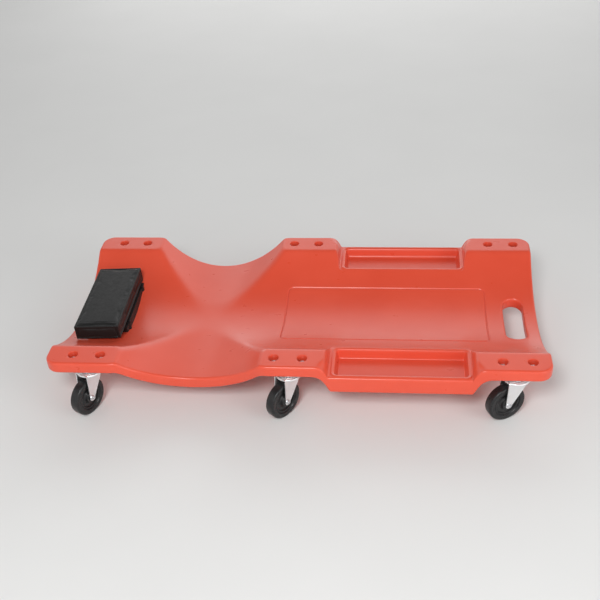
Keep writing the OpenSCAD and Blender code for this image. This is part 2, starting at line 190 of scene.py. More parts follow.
def top_height(x, y):
    """Height of the deck's top skin."""
    z = smooth_min(sheet_height(x, y), rim_height(x, y), PAD_CREASE)
    inside = rect_inside(x - sum(PANEL_X) / 2, y - sum(PANEL_Y) / 2,
                         (PANEL_X[1] - PANEL_X[0]) / 2, (PANEL_Y[1] - PANEL_Y[0]) / 2, PANEL_CORNER)
    z = z - GROOVE_DEPTH * np.clip(1 - (inside / GROOVE_HALF) ** 2, 0, 1)
    inside = rect_inside(x - sum(TRAY_X) / 2, np.abs(y) - sum(TRAY_Y) / 2,
                         (TRAY_X[1] - TRAY_X[0]) / 2, (TRAY_Y[1] - TRAY_Y[0]) / 2, TRAY_CORNER)
    z = z + BEAD_RISE * np.clip(1 - ((inside + BEAD_OUT) / BEAD_HALF) ** 2, 0, 1) ** 1.5
    inside = np.maximum(inside, 0)
    drop = np.where(inside < TRAY_LIP, inside ** 2 / (2 * TRAY_LIP), inside - TRAY_LIP / 2) * TRAY_SLOPE
    pocket = smooth_max(TRAY_FLOOR_Z, z - drop, TRAY_FOOT)
    return np.where(inside > 0, np.minimum(z, pocket), z)


def bottom_height(x, y):
    """Height of the deck's bottom skin."""
    outside = np.maximum(BASE_FEET[0] - x, x - BASE_FEET[1])
    level = TRAY_BASE_Z + (PAD_Z - DECK_T - TRAY_BASE_Z) * rise(outside, BASE_RUN)
    level = smooth_max(TRAY_BASE_Z, level, BASE_FOOT)
    return smooth_min(sheet_height(x, y, -DECK_T), level, UNDER_CREASE)


def side_edge(x):
    """The deck's plan edge drawn in by EDGE_R at one x: y, normal x and normal y on the +Y side."""
    centre = HALF_L - CORNER_R
    radius = CORNER_R - EDGE_R
    if abs(x) > centre:
        turn = math.asin(min(1.0, (abs(x) - centre) / radius))
        y = HALF_W - CORNER_R + radius * math.cos(turn)
        return y, math.copysign(math.sin(turn), x), math.cos(turn)

    def edge(at):
        """The drawn-in edge between the corners, with the arm cut-out."""
        offset = min(abs(at - WAIST_X), CUT_R)
        arc = HALF_W - CUT_DEPTH + CUT_R - math.sqrt((CUT_R + EDGE_R) ** 2 - offset ** 2)
        return float(smooth_min(HALF_W - EDGE_R, arc, CUT_BLEND))

    near = 0.01
    slope = (edge(x + near) - edge(x - near)) / (2 * near)
    size = math.hypot(1, slope)
    return edge(x), -slope / size, 1 / size


# Bolt wells: spacing, radius and floor, half side of the square patch that each is cut from, and bolt hole
BOLT_GAP = 57.0
WELL_R, WELL_FLOOR_Z, WELL_PATCH = 10.25, PAD_Z - 17.0, 13.5
BOLT_HOLE_R, BOLT_HOLE_LIP = 3.475, 0.4
# Wall and floor of a well below its lip: how far in, and how far above the floor
WELL_WALL = ((0.1, 8.0), (0.25, 1.5), (0.7, 0.4), (1.6, 0.0))
# Patch that the slot is cut from: start and end along the deck, and half length across it
SLOT_PATCH = (421.0, 484.0, 84.0)
# The slot's straight wall reaches this far above and below the middle of the deck's thickness
SLOT_WALL = 4.0


def well_centres():
    """Plan centres of the bolt wells, read from the caster plates' boxes."""
    centres = []
    for node in frame["nodes"]:
        if node.endswith("_plate"):
            low, high = box_mm(node)
            middle = (low + high) / 2
            centres += [(middle[0] + side * BOLT_GAP / 2, middle[1]) for side in (-1, 1)]
    return sorted(centres)


# Grid lines as (start, step): along the deck, across it from the middle, and in the band that is stretched to
# the edge. They lie closer at the groove, the trays' walls, the steps and the trough's edge.
LONG_LINES = ((-463, 3.8), (-436, 6), (-406, 3.8), (-379, 3.2), (-330, 7), (-90, 3.2), (-52, 2.5),
              (-44.5, 0.6), (-39.5, 1.4), (-28, 3.8), (5, 3.8), (32, 2.6), (42, 2), (56, 1.6), (72, 1.1),
              (92, 10), (334, 1.1), (356, 1.8), (382, 1.4), (393.5, 0.6), (398.5, 2.3), (402, 3.5),
              (423, 3.8), (453, 3.8))
CROSS_LINES = ((0, 8), (76, 1.4), (85.5, 0.6), (90.5, 1.4), (95.5, 0.6), (100.5, 4), (134, 2.2), (143, 1.1),
               (160, 3.8), (178, 1.5), (190, 2.6), (200.5, 1))
BAND_LINES = ((200.5, 3), (227.5, 1.15))
# Step of the first grid lines after the head end's corners
CORNER_LINE = 4.5


def deck_grid():
    """Grid lines along x and, from the middle outwards, along y, and the shares of the last band of y."""
    centre, radius = HALF_L - CORNER_R, CORNER_R - EDGE_R
    corner = [math.sin(math.radians(a)) for a in range(10, 91, 10)]
    middle = grid_lines([(-centre, CORNER_LINE), *LONG_LINES, (centre, 1)])
    xs = np.concatenate([[-centre - radius * s for s in reversed(corner)], middle,
                         [centre + radius * s for s in corner]])
    band = grid_lines([*BAND_LINES, (HALF_W - EDGE_R, 1)])
    return xs, grid_lines(CROSS_LINES), (band - band[0]) / (band[-1] - band[0])


def border(index, i0, i1, j0, j1):
    """Indices round a rectangle of a grid, in order."""
    return np.concatenate([index[i0:i1, j0], index[i1, j0:j1], index[i1:i0:-1, j1], index[i0, j1:j0:-1]])


class DeckSkin:
    """The deck's skin under construction: a top and a bottom grid, and rings of points between them."""

    def __init__(self):
        """Lays both grids."""
        self.xs, ys, band = deck_grid()
        columns = []
        self.normals = []
        for x in self.xs:
            edge, nx, ny = side_edge(x)
            positive = np.concatenate([ys[:-1], ys[-1] + band * (edge - ys[-1])])
            columns.append(np.concatenate([-positive[:0:-1], positive]))
            self.normals.append((nx, ny))
        self.grid_y = np.array(columns)
        grid_x = np.repeat(self.xs[:, None], self.grid_y.shape[1], axis=1)
        self.points = [np.stack([grid_x, self.grid_y, skin(grid_x, self.grid_y)], -1).reshape(-1, 3)
                       for skin in (top_height, bottom_height)]
        self.total = 2 * grid_x.size
        self.top_at = np.arange(grid_x.size).reshape(grid_x.shape)
        self.bottom_at = self.top_at + grid_x.size
        self.keep = np.ones((grid_x.shape[0] - 1, grid_x.shape[1] - 1), bool)
        self.faces = []

    def ring(self, at, z):
        """Adds a ring of points from their plan places and heights, and gives their indices."""
        self.points.append(np.column_stack([at, z]))
        self.total += len(at)
        return np.arange(self.total - len(at), self.total)

    def join(self, chain):
        """Joins each ring of a chain to the next with faces."""
        for one, two in zip(chain, chain[1:]):
            after_one, after_two = np.roll(one, -1), np.roll(two, -1)
            self.faces.extend(np.stack([one, after_one, after_two, two], -1).tolist())

    def outwards(self, loop):
        """Plan direction out of the deck at each point of its outer loop."""
        last = self.grid_y.shape[1] - 1
        out = np.zeros((len(loop), 2))
        for k, v in enumerate(loop):
            i, j = divmod(int(v), last + 1)
            nx, ny = self.normals[i]
            if j in (0, last):
                out[k] = (nx, ny if j else -ny)
            else:
                out[k] = (1 if i else -1, 0)
        return out

    def close_edge(self):
        """Joins the grids round the outside: upper rounding, wall and lower rounding."""
        last_x, last_y = (count - 1 for count in self.grid_y.shape)
        loop = border(self.top_at, 0, last_x, 0, last_y)
        base = self.points[0][loop][:, :2]
        out = self.outwards(loop)
        chain = [loop]
        for turn in np.radians([15, 30, 45, 60, 75, 90]):
            at = base + out * EDGE_R * math.sin(turn)
            chain.append(self.ring(at, top_height(at[:, 0], at[:, 1]) - EDGE_R * (1 - math.cos(turn))))
        at = base + out * EDGE_R
        high = top_height(at[:, 0], at[:, 1]) - EDGE_R
        low = bottom_height(at[:, 0], at[:, 1]) + FOOT_R
        for share in (0.2, 0.4, 0.6, 0.8, 1.0):
            chain.append(self.ring(at, high + (low - high) * share))
        for turn in np.radians([72, 54, 36, 18]):
            at = base + out * (EDGE_R - FOOT_R * (1 - math.sin(turn)))
            chain.append(self.ring(at, bottom_height(at[:, 0], at[:, 1]) + FOOT_R * (1 - math.cos(turn))))
        chain.append(border(self.bottom_at, 0, last_x, 0, last_y))
        self.join(chain)

    def tunnel(self, patch, spine, half_spine, mouth, foot, wall):
        """Cuts a hole through both grids and lines it.

        patch is the rectangle that is cut out: x0, x1, y0, y1. spine is the middle of the hole, which reaches
        half_spine each way across the deck. mouth and foot are the (radius, lip) at the top and the bottom,
        and wall gives (radius, height, skin) between them: height is above the skin, or above the floor.
        """
        i0, i1 = (int(np.argmin(np.abs(self.xs - x))) for x in patch[:2])
        middle_row = self.grid_y[(i0 + i1) // 2]
        j0, j1 = (int(np.argmin(np.abs(middle_row - y))) for y in patch[2:])
        self.keep[i0:i1, j0:j1] = False
        upper = border(self.top_at, i0, i1, j0, j1)
        edge = self.points[0][upper][:, :2]
        across = np.clip(edge[:, 1], spine[1] - half_spine, spine[1] + half_spine)
        core = np.column_stack([np.full(len(edge), spine[0]), across])
        way = edge - core
        way /= np.linalg.norm(way, axis=1)[:, None]

        def ring(radius, height, skin):
            """A ring at a distance from the spine."""
            at = core + way * radius
            return self.ring(at, np.full(len(at), height) + (skin(at[:, 0], at[:, 1]) if skin else 0))

        def halfway(skin):
            """A ring halfway between the last ring and the patch's edge."""
            at = (edge + self.points[-1][:, :2]) / 2
            return self.ring(at, skin(at[:, 0], at[:, 1]))

        radius, lip = mouth
        first = ring(radius + lip, 0, top_height)
        chain = [upper, halfway(top_height), first]
        for turn in np.radians([22, 45, 67, 90]):
            chain.append(ring(radius + lip * (1 - math.sin(turn)), -lip * (1 - math.cos(turn)), top_height))
        chain += [ring(*level) for level in wall]
        radius, lip = foot
        for turn in np.radians([90, 60, 30, 0]):
            chain.append(ring(radius + lip * (1 - math.sin(turn)), lip * (1 - math.cos(turn)), bottom_height))
        chain += [halfway(bottom_height), border(self.bottom_at, i0, i1, j0, j1)]
        self.join(chain)

    def finished(self, name):
        """The skin as an object, with the faces of both grids."""
        i, j = np.nonzero(self.keep)
        for at, order in ((self.top_at, 1), (self.bottom_at, -1)):
            corners = [at[i, j], at[i + 1, j], at[i + 1, j + 1], at[i, j + 1]]
            corners = [corners[0], *corners[1:][::order]]
            self.faces.extend(np.stack(corners, -1).tolist())
        return new_object(name, np.concatenate(self.points), self.faces)


def middle_height(x, y):
    """Height of the surface halfway between the deck's skins."""
    return (top_height(x, y) + bottom_height(x, y)) / 2


def make_deck():
    """The deck's skin: top and bottom joined round the edge, with tunnels for the wells and the slot."""
    deck = DeckSkin()
    deck.close_edge()
    well_wall = [(WELL_R - inset, WELL_FLOOR_Z + height, None) for inset, height in WELL_WALL]
    well_wall.append((BOLT_HOLE_R, WELL_FLOOR_Z, None))
    for x, y in well_centres():
        patch = (x - WELL_PATCH, x + WELL_PATCH, y - WELL_PATCH, y + WELL_PATCH)
        deck.tunnel(patch, (x, y), 0, (WELL_R, WELL_LIP), (BOLT_HOLE_R, BOLT_HOLE_LIP), well_wall)
    start, end, half = SLOT_PATCH
    mouth = (SLOT_HALF_W, SLOT_LIP)
    slot_wall = [(SLOT_HALF_W, height, middle_height) for height in (SLOT_WALL, -SLOT_WALL)]
    deck.tunnel((start, end, -half, half), (SLOT_X, 0), SLOT_HALF_L - SLOT_HALF_W, mouth, mouth, slot_wall)
    return deck.finished("deck_shell")


# ---------------------------------------------------------------- materials

class Paint:
    """A node material under construction, in object space, with millimetre-sized patterns."""

    def __init__(self, name, colour, roughness, metallic=0.0, **sockets):
        """Starts from a plain principled shader."""
        self.material = bpy.data.materials.new(name)
        self.material.use_nodes = True
        self.tree = self.material.node_tree
        self.shader = self.tree.nodes["Principled BSDF"]
        self.shader.inputs["Base Color"].default_value = (*colour, 1)
        self.shader.inputs["Roughness"].default_value = roughness
        self.shader.inputs["Metallic"].default_value = metallic
        for socket, value in sockets.items():
            self.shader.inputs[socket.replace("_", " ")].default_value = value
        self.place = self.tree.nodes.new("ShaderNodeTexCoord").outputs["Object"]

    def node(self, kind, **inputs):
        """A node whose inputs are values or other sockets."""
        node = self.tree.nodes.new(kind)
        for socket, value in inputs.items():
            name = socket.replace("_", " ")
            if hasattr(value, "links"):
                self.tree.links.new(value, node.inputs[name])
            else:
                node.inputs[name].default_value = value
        return node

    def stretched(self, stretch):
        """Object coordinates, scaled along each axis."""
        mapping = self.node("ShaderNodeMapping", Vector=self.place)
        mapping.inputs["Scale"].default_value = stretch
        return mapping.outputs["Vector"]

    def noise(self, scale, detail=3.0, roughness=0.5, stretch=(1, 1, 1)):
        """Cloudy noise."""
        return self.node("ShaderNodeTexNoise", Vector=self.stretched(stretch), Scale=scale, Detail=detail,
                         Roughness=roughness).outputs["Fac"]

    def cells(self, scale, stretch=(1, 1, 1)):
        """Distance to the middle of small cells."""
        cells = self.node("ShaderNodeTexVoronoi", Vector=self.stretched(stretch), Scale=scale)
        return cells.outputs["Distance"]

    def ramp(self, value, *stops):
        """A colour or grey from a value, by (position, colour) stops."""
        ramp = self.node("ShaderNodeValToRGB", Fac=value)
        elements = ramp.color_ramp.elements
        while len(elements) < len(stops):
            elements.new(0.5)
        for element, (position, colour) in zip(elements, stops):
            element.position = position
            rgb = colour if isinstance(colour, tuple) else (colour,) * 3
            element.color = (*rgb, 1)
        return ramp.outputs["Color"]

    def mix(self, share, one, two):
        """Two colours mixed."""
        node = self.tree.nodes.new("ShaderNodeMix")
        node.data_type = "RGBA"
        for socket, value in zip((node.inputs[0], node.inputs[6], node.inputs[7]), (share, one, two)):
            if hasattr(value, "links"):
                self.tree.links.new(value, socket)
            else:
                socket.default_value = (*value, 1) if isinstance(value, tuple) else value
        return node.outputs[2]

    def bump(self, height, strength, distance):
        """Adds a bump on top of those that the shader has."""
        before = self.shader.inputs["Normal"].links
        node = self.node("ShaderNodeBump", Height=height, Strength=strength, Distance=distance)
        if before:
            self.tree.links.new(before[0].from_socket, node.inputs["Normal"])
        self.tree.links.new(node.outputs["Normal"], self.shader.inputs["Normal"])

    def set(self, socket, value):
        """Links a value to a socket of the shader."""
        self.tree.links.new(value, self.shader.inputs[socket])


def deck_paint():
    """Satin red polyethylene: faint mottling, fine moulded grain, and scuffs along the deck."""
    paint = Paint("deck_plastic", (0.74, 0.084, 0.042), 0.36, IOR=1.5)
    mottle = paint.noise(9, 4)
    colour = paint.ramp(mottle, (0.3, (0.72, 0.078, 0.038)), (0.7, (0.76, 0.090, 0.046)))
    scuffs = paint.ramp(paint.noise(70, 6, 0.65, (0.25, 1, 1)), (0.66, 0.0), (0.82, 0.2))
    paint.set("Base Color", paint.mix(scuffs, colour, (0.82, 0.17, 0.10)))
    paint.set("Roughness", paint.ramp(paint.noise(55, 5, 0.6, (0.5, 1, 1)), (0.3, 0.27), (0.7, 0.34)))
    paint.bump(paint.noise(900, 2), 0.10, 0.0003)
    paint.bump(paint.noise(26, 2), 0.05, 0.002)
    return paint.material


def vinyl_paint():
    """Black vinyl with a fine leather grain."""
    paint = Paint("black_vinyl", (0.012, 0.012, 0.012), 0.42, IOR=1.45, Specular_IOR_Level=0.3)
    paint.set("Base Color", paint.ramp(paint.noise(40, 4), (0.3, 0.009), (0.7, 0.014)))
    paint.set("Roughness", paint.ramp(paint.noise(160, 4), (0.3, 0.38), (0.7, 0.54)))
    paint.bump(paint.cells(1100), 0.22, 0.0003)
    paint.bump(paint.noise(120, 4), 0.12, 0.0008)
    return paint.material


def plywood_paint():
    """Bare plywood, with grain along the board."""
    paint = Paint("plywood", (0.50, 0.34, 0.19), 0.75)
    grain = paint.noise(60, 6, 0.6, (1, 0.08, 4))
    paint.set("Base Color", paint.ramp(grain, (0.3, (0.36, 0.22, 0.11)), (0.7, (0.60, 0.43, 0.25))))
    paint.set("Roughness", paint.ramp(grain, (0.3, 0.85), (0.7, 0.65)))
    paint.bump(grain, 0.3, 0.0004)
    return paint.material


def moulded_paint(name, dark, light, roughness, scale):
    """Black moulded plastic with dust and handling marks."""
    paint = Paint(name, dark, roughness, IOR=1.45, Specular_IOR_Level=0.45)
    paint.set("Base Color", paint.ramp(paint.noise(scale, 5, 0.6), (0.35, dark), (0.75, light)))
    marks = paint.noise(scale * 3, 4)
    paint.set("Roughness", paint.ramp(marks, (0.3, roughness - 0.07), (0.7, roughness + 0.1)))
    paint.bump(paint.noise(1200, 2), 0.15, 0.0002)
    return paint.material


def steel_paint(name, dark, light, roughness, cloud, brushed=(1, 1, 1)):
    """Bright steel: clouded plate, fine brushing and small scratches."""
    paint = Paint(name, light, roughness, 1.0)
    paint.set("Base Color", paint.ramp(paint.noise(cloud, 4), (0.3, dark), (0.7, light)))
    streaks = paint.noise(cloud * 4, 4, 0.6, brushed)
    paint.set("Roughness", paint.ramp(streaks, (0.3, roughness - 0.08), (0.7, roughness + 0.12)))
    paint.bump(paint.noise(600, 3, 0.5, brushed), 0.08, 0.0002)
    return paint.material


def floor_paint():
    """Pale studio floor."""
    paint = Paint("floor_paint", (0.78, 0.78, 0.77), 0.7)
    cloud = paint.noise(3, 3)
    paint.set("Base Color", paint.ramp(cloud, (0.3, (0.77, 0.77, 0.76)), (0.7, (0.79, 0.79, 0.78))))
    paint.bump(paint.noise(300, 2), 0.03, 0.0005)
    return paint.material


PAINTS = {
    "deck_plastic": deck_paint(),
    "black_vinyl": vinyl_paint(),
    "plywood": plywood_paint(),
    "black_plastic": moulded_paint("black_plastic", (0.008, 0.008, 0.008), (0.016, 0.015, 0.014), 0.5, 60),
    "zinc_plate": steel_paint("zinc_plate", (0.62, 0.63, 0.65), (0.80, 0.81, 0.83), 0.28, 90),
    "black_steel": steel_paint("black_steel", (0.03, 0.03, 0.033), (0.10, 0.10, 0.105), 0.4, 150),
    "pressed_zinc": steel_paint("pressed_zinc", (0.88, 0.89, 0.90), (0.96, 0.97, 0.98), 0.36, 45,
                                (1, 1, 0.15)),
    "ball_steel": steel_paint("ball_steel", (0.72, 0.73, 0.75), (0.82, 0.83, 0.85), 0.16, 200),
    "bushing_steel": steel_paint("bushing_steel", (0.45, 0.46, 0.47), (0.60, 0.61, 0.62), 0.38, 120,
                                 (1, 8, 1)),
    "wheel_black": moulded_paint("wheel_black", (0.010, 0.010, 0.011), (0.026, 0.025, 0.025), 0.32, 90),
}


def add_piece(piece, slot, body, *nodes):
    """Gives a new piece its material and body, and hides the CAD nodes it stands for."""
    piece.data.materials.append(PAINTS[slot])
    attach(piece, body)
    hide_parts(*nodes)


def paint_nodes():
    """Puts the better materials on every CAD node that stays."""
    slots = {entry["node"]: entry["material_slot"] for entry in frame["record"]["subparts"]}
    for name, thing in frame["nodes"].items():
        thing.data.materials.clear()
        thing.data.materials.append(PAINTS[slots[name]])


paint_nodes()
add_piece(make_deck(), "deck_plastic", "deck", "deck")


# ---------------------------------------------------------------- headrest cushion

REST_TILT, REST_TURN = math.radians(1.7), math.radians(1.0)
CUSHION = (97.0, 226.0, 32.6)
# How much smaller the blank is, its edges' rounding, its mesh size, and the most that a point swells
SHY, BLANK_EDGE, PAD_VOXEL, SWELL = 0.5, 2.0, 3.0, 2.0
CLOTH_PRESSURE, CLOTH_QUALITY, CLOTH_FRAMES = 4, 5, 20
# Width of the band along the edges that the cover draws tight, and how square it makes them
EDGE_BAND, EDGE_POWER = 6.0, 6
# Folds across the top at both ends: distance from the end, sway, half width and depth
END_FOLDS = ((4.0, 0.3, 1.3, 0.4), (9.0, 0.6, 1.5, 0.4), (14.5, 1.0, 1.8, 0.35))
# Mitred folds on the ends: distance from the side, lean, half width and depth
MITRE_IN, MITRE_LEAN, MITRE_HALF, MITRE_DEPTH = 4.5, 0.18, 1.5, 0.9
# The underside is drawn in over the board, within the rim that wraps it
BOARD_RIM, BOARD_RECESS = (11, 15), 1.2
# Where the folds fade: below the top, in from the sides, on to the ends, and above the underside
TOP_FADE, SIDE_FADE, END_FADE, UNDER_FADE = (6, 2.5), (2, 8), (3.0, 1.2), (3, 1)
# Waves of the end folds along the cushion: height, length and phase
WAVES = ((0.5, 9.0, 0), (0.3, 3.7, 1))


def headrest_frame():
    """Matrix of the headrest, with its origin in the middle of the cushion's CAD solid, in metres."""
    low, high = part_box("headrest_cushion")
    turn = Matrix.Rotation(REST_TURN, 4, "Z") @ Matrix.Rotation(-REST_TILT, 4, "Y")
    return Matrix.Translation((low + high) / 2) @ turn


def cushion_blank():
    """Box a little smaller than the cushion, with rounded edges and an even mesh, before it is filled."""
    work = bmesh.new()
    bmesh.ops.create_cube(work, size=1)
    for v in work.verts:
        v.co = Vector((v.co.x * (CUSHION[0] - 2 * SHY), v.co.y * (CUSHION[1] - 2 * SHY),
                       v.co.z * (CUSHION[2] - SHY) - SHY / 2)) * MM
    bmesh.ops.bevel(work, geom=work.edges[:], offset=BLANK_EDGE * MM, segments=3, profile=0.5, affect="EDGES")
    mesh = bpy.data.meshes.new("headrest_pad")
    work.to_mesh(mesh)
    work.free()
    pad = bpy.data.objects.new("headrest_pad", mesh)
    bpy.context.scene.collection.objects.link(pad)
    remesh = pad.modifiers.new("remesh", "REMESH")
    remesh.mode = "VOXEL"
    remesh.voxel_size = PAD_VOXEL * MM
    apply_modifiers(pad)
    return pad


def apply_modifiers(thing):
    """Bakes an object's modifiers into its mesh."""
    graph = bpy.context.evaluated_depsgraph_get()
    mesh = bpy.data.meshes.new_from_object(thing.evaluated_get(graph))
    thing.modifiers.clear()
    thing.data = mesh


def vertices_mm(thing):
    """Places of a mesh's points, in millimetres."""
    points = np.zeros(len(thing.data.vertices) * 3)
    thing.data.vertices.foreach_get("co", points)
    return points.reshape(-1, 3) / MM


def set_vertices_mm(thing, points):
    """Moves a mesh's points, given in millimetres."""
    thing.data.vertices.foreach_set("co", (points * MM).ravel())
    thing.data.update()


def fill_cushion(pad):
    """Inflates the blank as cloth under a light pressure, and caps how far it swells."""
    before = vertices_mm(pad)
    cloth = pad.modifiers.new("cloth", "CLOTH")
    cloth.settings.use_pressure = True
    cloth.settings.uniform_pressure_force = CLOTH_PRESSURE
    cloth.settings.effector_weights.gravity = 0
    cloth.settings.quality = CLOTH_QUALITY
    scene = bpy.context.scene
    for step in range(1, CLOTH_FRAMES + 1):
        scene.frame_set(step)
    apply_modifiers(pad)
    scene.frame_set(1)
    move = vertices_mm(pad) - before
    size = np.linalg.norm(move, axis=1)[:, None]
    after = before + move * np.minimum(1, SWELL / np.maximum(size, 1e-6))
    half = np.array(CUSHION) / 2
    set_vertices_mm(pad, np.clip(after, -half, half + np.array((0, 0, SWELL))))


def groove(distance, half, depth):
    """Depth of a round-bottomed groove at a distance from its line."""
    return depth * np.clip(1 - (distance / half) ** 2, 0, 1)


def tight_edges(points, half):
    """Draws the rounded edges out to the box, as a cover stretched over square foam does."""
    beyond = np.maximum(np.abs(points) - half + EDGE_BAND, 0)
    first, second = np.sort(beyond, axis=1)[:, :0:-1].T
    reach = np.maximum((beyond ** EDGE_POWER).sum(axis=1) ** (1 / EDGE_POWER), 1e-6)
    share = smooth_step(second / np.maximum(first, 1e-6), 0.0, 0.5)
    stretch = 1 + share * (EDGE_BAND / reach - 1)
    inner = np.minimum(np.abs(points), half - EDGE_BAND)
    return np.sign(points) * (inner + beyond * stretch[:, None])


def sew_cushion(pad):
    """Presses the seams and folds into the filled cushion."""
    smooth = pad.modifiers.new("smooth", "SUBSURF")
    smooth.levels = smooth.render_levels = 2
    apply_modifiers(pad)
    half = np.array(CUSHION) / 2
    points = tight_edges(vertices_mm(pad), half)
    x, y, z = points.T
    end = half[1] - np.abs(y)
    side = half[0] - np.abs(x)
    top = smooth_step(z, half[2] - TOP_FADE[0], half[2] - TOP_FADE[1])
    wave = sum(height * np.sin(x / length + phase) for height, length, phase in WAVES)
    press = sum(groove(end - at - sway * wave, wide, deep) for at, sway, wide, deep in END_FOLDS)
    points[:, 2] -= top * press * smooth_step(side, *SIDE_FADE)
    facing = smooth_step(-end, -END_FADE[0], -END_FADE[1])
    fold = side - MITRE_IN - MITRE_LEAN * (z + half[2])
    points[:, 1] -= np.sign(y) * facing * groove(fold, MITRE_HALF, MITRE_DEPTH)
    within = smooth_step(np.minimum(half[0] - np.abs(x), half[1] - np.abs(y)), *BOARD_RIM)
    under = smooth_step(-z, half[2] - UNDER_FADE[0], half[2] - UNDER_FADE[1])
    points[:, 2] += BOARD_RECESS * within * under
    set_vertices_mm(pad, points)
    for face in pad.data.polygons:
        face.use_smooth = True


def make_cushion():
    """The headrest's cushion: filled, sewn and laid in its place."""
    pad = cushion_blank()
    fill_cushion(pad)
    sew_cushion(pad)
    pad.data.transform(headrest_frame())
    add_piece(pad, "black_vinyl", "deck", "headrest_cushion")


make_cushion()


# ---------------------------------------------------------------- casters

AXLE_Z, TRAIL, STEEL_T = 40.0, 22.0, 2.5
CROWN_TOP_Z, CROWN_R, SKIRT_Z = 97.8, 27.0, 92.3
# Bore of the crown, and the pressed step in its top
CROWN_BORE_R, CROWN_STEP_R = 5.1, 21.3
LEG_Y, LEG_BEND = 15.0, 4.5
LEG_TIP_R = 7.0
# A leg's root under the crown: its rows' places across, how far it is sunk, and the straight part's start
LEG_ROOT, LEG_SINK, LEG_STRAIGHT_Z = (7.0, 8.8), 0.25, 91.0
# Back and front edges of a leg: (height, back x, front x) from the crown down to the axle
LEG_EDGES = ((97.8, -25.6, 12.4), (86.0, -26.4, 12.0), (80.0, -26.8, 11.6), (76.0, -27.1, 9.6),
             (40.0, -29.0, -15.3))
# Places across a leg's width, how far its edges flare out, and how far they are rounded off
LEG_SHARES = np.array([0, 0.03, 0.09, 0.2, 0.35, 0.5, 0.65, 0.8, 0.91, 0.97, 1])
LEG_FLARE, LEG_ROUNDING = 0.9, 0.35
# Edges turned sharper than this stay crisp
CRISP_ANGLE = 40
# Half section of the wheel from the bore out: (radius, half width, rounding)
WHEEL_HALF = ((6.05, 12.2, 0.4), (11.6, 12.2, 0.9), (13.0, 6.6, 1.2), (15.5, 4.6, 1.0), (22.6, 4.6, 1.0),
              (23.8, 7.9, 0.8), (26.2, 7.9, 0.5), (26.8, 7.2, 0.4), (28.2, 7.2, 0.4), (29.2, 9.7, 0.8),
              (33.5, 9.7, 0.6), (34.2, 10.0, 0.5), (40.0, 10.0, 3.2))


def lathe(name, section, segments=96):
    """A closed ring of the (radius, height) section, turned about Z."""
    count = len(section)
    turns = np.linspace(0, 2 * math.pi, segments, endpoint=False)
    points = [(r * math.cos(t), r * math.sin(t), h) for t in turns for r, h in section]
    faces = []
    for i in range(segments):
        here, following = i * count, (i + 1) % segments * count
        for j in range(count):
            after = (j + 1) % count
            faces.append((here + j, here + after, following + after, following + j))
    return new_object(name, points, faces)


def filleted(corners, steps=3):
    """A closed outline from (x, y, radius) corners, each rounded by its radius."""
    outline = []
    for k, (x, y, radius) in enumerate(corners):
        here = np.array((x, y))
        if radius == 0:
            outline.append(tuple(here))
            continue
        back = np.array(corners[k - 1][:2]) - here
        ahead = np.array(corners[(k + 1) % len(corners)][:2]) - here
        back, ahead = back / np.linalg.norm(back), ahead / np.linalg.norm(ahead)
        half = math.acos(np.clip(back @ ahead, -1, 1)) / 2
        reach = radius / math.tan(half)
        centre = here + (back + ahead) / np.linalg.norm(back + ahead) * radius / math.sin(half)
        start, end = here + back * reach - centre, here + ahead * reach - centre
        for step in range(steps + 1):
            way = start + (end - start) * step / steps
            outline.append(tuple(centre + way / np.linalg.norm(way) * radius))
    return outline


def crown():
    """Round crown of the fork, with a pressed step and a skirt."""
    inner, low = CROWN_BORE_R, CROWN_TOP_Z - STEEL_T
    return lathe("crown", filleted([
        (inner, low, 0.3), (inner, CROWN_TOP_Z, 0.4), (CROWN_STEP_R, CROWN_TOP_Z, 1.0),
        (CROWN_STEP_R + 1, CROWN_TOP_Z - 0.8, 0.8),
        (CROWN_R, CROWN_TOP_Z - 1.0, 1.6), (CROWN_R, SKIRT_Z, 0.5), (CROWN_R - 2, SKIRT_Z, 0.5),
        (CROWN_R - 2, low, 0.8)]))


def leg_rows():
    """Section of a leg from the crown down to its tip: (y, z, outward y, outward z)."""
    rows = [(y, CROWN_TOP_Z - LEG_SINK, 0.0, 1.0) for y in LEG_ROOT]
    centre = (LEG_Y - LEG_BEND, CROWN_TOP_Z - LEG_SINK - LEG_BEND)
    for turn in np.radians(np.linspace(0, 90, 8)):
        ny, nz = math.sin(turn), math.cos(turn)
        rows.append((centre[0] + LEG_BEND * ny, centre[1] + LEG_BEND * nz, ny, nz))
    tip_turns = np.radians((15, 30, 45, 60, 72, 81, 86))
    rows += [(LEG_Y, z, 1.0, 0.0) for z in np.linspace(LEG_STRAIGHT_Z, AXLE_Z, 22)]
    rows += [(LEG_Y, AXLE_Z - LEG_TIP_R * math.sin(turn), 1.0, 0.0) for turn in tip_turns]
    return rows


